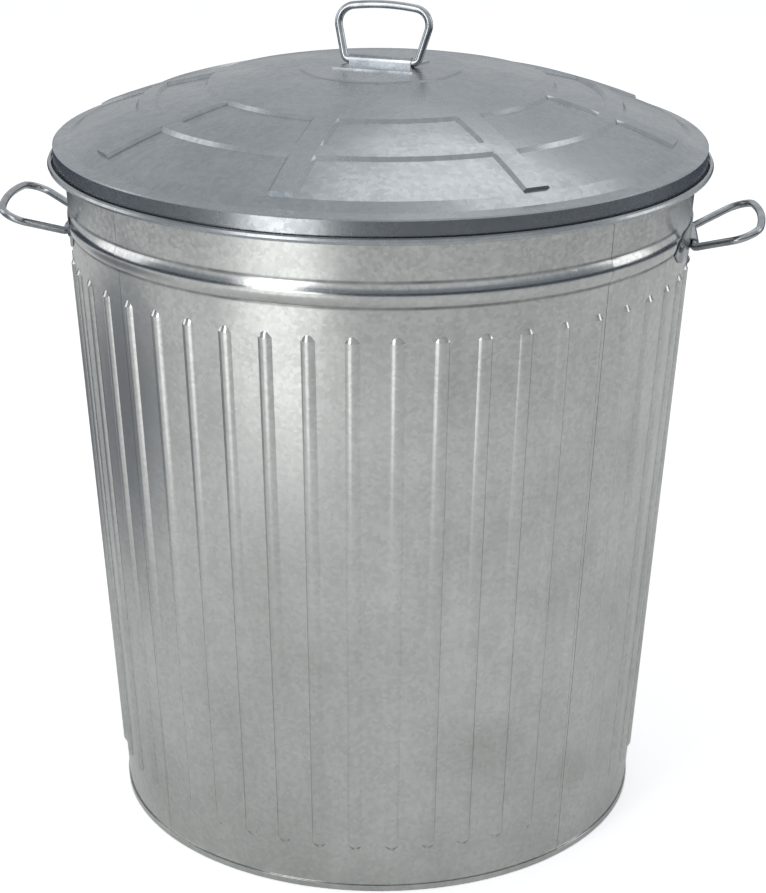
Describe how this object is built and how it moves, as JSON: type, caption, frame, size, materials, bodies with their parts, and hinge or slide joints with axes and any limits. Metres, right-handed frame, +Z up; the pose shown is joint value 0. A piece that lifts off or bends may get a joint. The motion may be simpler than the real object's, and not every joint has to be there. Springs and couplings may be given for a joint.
{
  "type": "lidded_round_bin",
  "caption": "Galvanised round trash can with fluted tapering walls, a hoop, swinging wire side handles and a ribbed lift-off lid with its own wire handle",
  "frame": {"origin": "centre of the standing face at floor level, on the upright axis of the can", "axes": "+Z up, +X towards the right side handle, -Y towards the front"},
  "size_m": [0.6016, 0.5174, 0.6527],
  "materials": {
    "galvanised_sheet": "hot_dip_zinc_spangle",
    "galvanised_lid": "hot_dip_zinc_weathered",
    "zinc_wire": "zinc_plated_wire",
    "zinc_strap": "zinc_plated_strip",
    "steel_rivet": "dull_zinc"
  },
  "bodies": {
    "can": {"front_wall_panel": "galvanised_sheet", "back_wall_panel": "galvanised_sheet", "right_wall_panel": "galvanised_sheet", "left_wall_panel": "galvanised_sheet", "rim_wire": "zinc_wire", "base_disc": "galvanised_sheet", "right_handle_ear": "zinc_strap", "left_handle_ear": "zinc_strap", "right_ear_rivets": "steel_rivet", "left_ear_rivets": "steel_rivet"},
    "lid": {"lid_shell": "galvanised_lid", "lid_handle_strap": "zinc_strap"},
    "right_handle": {"right_handle_wire": "zinc_wire"},
    "left_handle": {"left_handle_wire": "zinc_wire"},
    "lid_handle": {"lid_handle_wire": "zinc_wire"}
  },
  "joints": [
    {"name": "lid_lift", "type": "slide", "parent": "can", "child": "lid", "axis": [0, 0, 1], "range_m": [0, 0.25]},
    {"name": "right_handle_swing", "type": "hinge", "parent": "can", "child": "right_handle", "pos_m": [0.2461, 0, 0.474], "axis": [0, 1, 0], "range_deg": [-45, 110]},
    {"name": "left_handle_swing", "type": "hinge", "parent": "can", "child": "left_handle", "pos_m": [-0.2461, 0, 0.474], "axis": [0, -1, 0], "range_deg": [-45, 110]},
    {"name": "lid_handle_swing", "type": "hinge", "parent": "lid", "child": "lid_handle", "pos_m": [0, 0, 0.608], "axis": [0.9763, -0.2164, 0], "range_deg": [-72, 98]}
  ]
}
